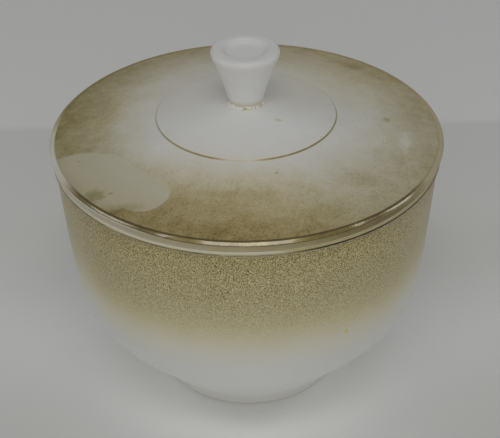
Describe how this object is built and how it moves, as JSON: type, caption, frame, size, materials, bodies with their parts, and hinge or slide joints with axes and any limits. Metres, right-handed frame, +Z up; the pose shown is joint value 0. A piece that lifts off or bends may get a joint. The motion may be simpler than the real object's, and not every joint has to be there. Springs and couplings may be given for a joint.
{
  "type": "lidded cosmetic jar",
  "caption": "Round footed jar in satin opal glass with a loose lift-off lid, a flared knob and gilt rim bands, for cream or powder.",
  "frame": {"origin": "centre of the plane that the foot ring rests on", "axes": "+Z up along the axis of the jar, lid and knob; +X and +Y are any two directions across it, because every piece is round"},
  "size_m": [0.1208, 0.1208, 0.1142],
  "materials": {
    "jar_glass": "satin opal glass, stippled brown spray fading to white",
    "lid_glass": "satin opal glass, worn brown spray round the edge",
    "knob_glass": "satin opal glass, undecorated",
    "gilt": "polished, darkened gilt",
    "cement": "rough, stained"
  },
  "bodies": {
    "jar": {"jar_body": "jar_glass", "jar_rim_band": "gilt"},
    "lid": {"lid_shell": "lid_glass", "lid_rim_band": "gilt", "knob": "knob_glass", "knob_cement": "cement"}
  },
  "joints": [
    {"name": "lid_lift", "type": "slide", "parent": "jar", "child": "lid", "axis": [0, 0, 1], "range_m": [0, 0.07]}
  ]
}
